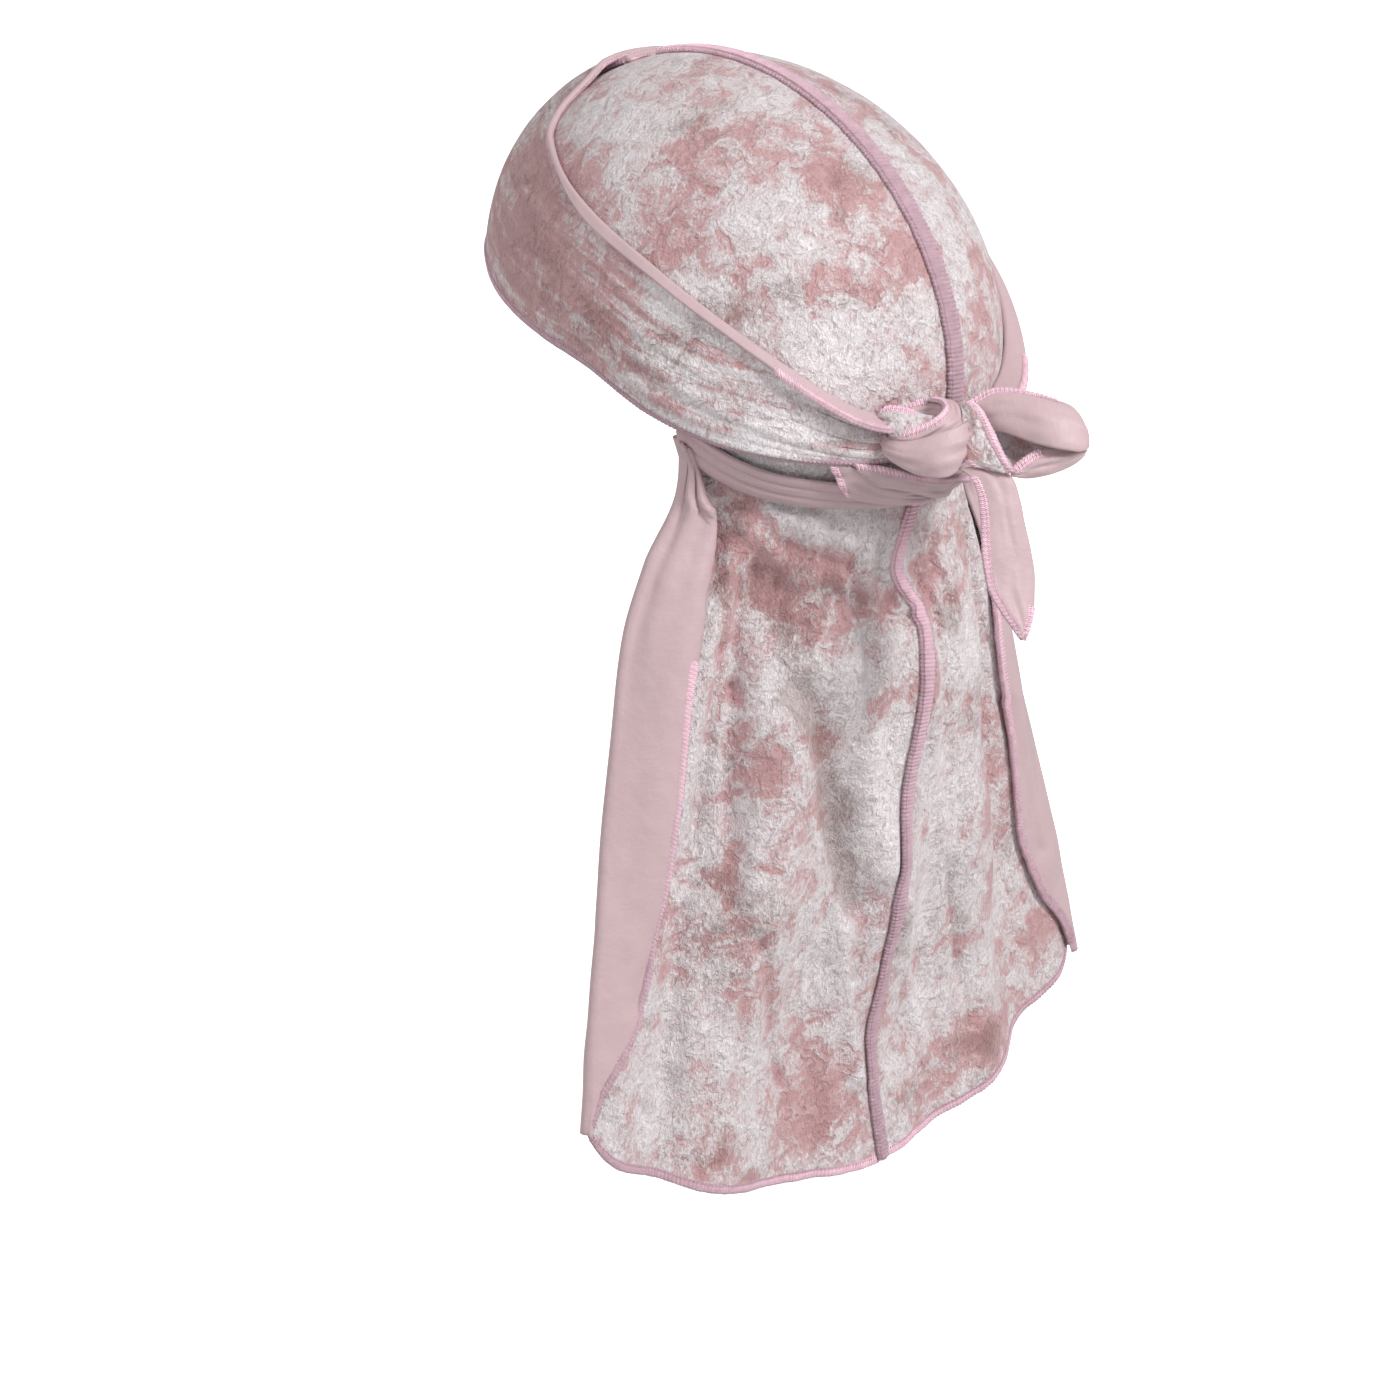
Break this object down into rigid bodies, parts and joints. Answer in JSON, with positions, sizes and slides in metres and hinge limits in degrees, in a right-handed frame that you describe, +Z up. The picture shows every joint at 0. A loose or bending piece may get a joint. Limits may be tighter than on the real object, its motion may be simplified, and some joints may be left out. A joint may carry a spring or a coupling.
{
  "type": "durag",
  "caption": "Velvet durag in its worn, tied form: a fitted crown, wide brow straps knotted in a bow behind the head, and a long flared tail with turned satin hems",
  "frame": {"origin": "The inside top of the crown, where the top of the head bears on the cloth", "axes": "+Z is up. The wearer faces -Y, so the tail and the bow are at +Y and the wearer's left is +X"},
  "size_m": [0.2622, 0.2449, 0.3951],
  "materials": {
    "velvet": "crushed velvet with a short, glossy pile",
    "satin": "matt satin, the reverse of the velvet",
    "thread": "dense overlock thread"
  },
  "bodies": {
    "root": {"crown_left": "velvet", "crown_right": "velvet", "tail_left": "velvet", "tail_right": "velvet", "crown_seam": "thread", "tail_seam": "thread", "brow_strap_left": "velvet", "brow_strap_right": "velvet", "nape_strap": "satin", "strap_tuck": "satin", "knot_wrap": "satin", "knot_roll": "velvet", "bow_loop": "satin", "loose_end": "satin"}
  },
  "joints": []
}
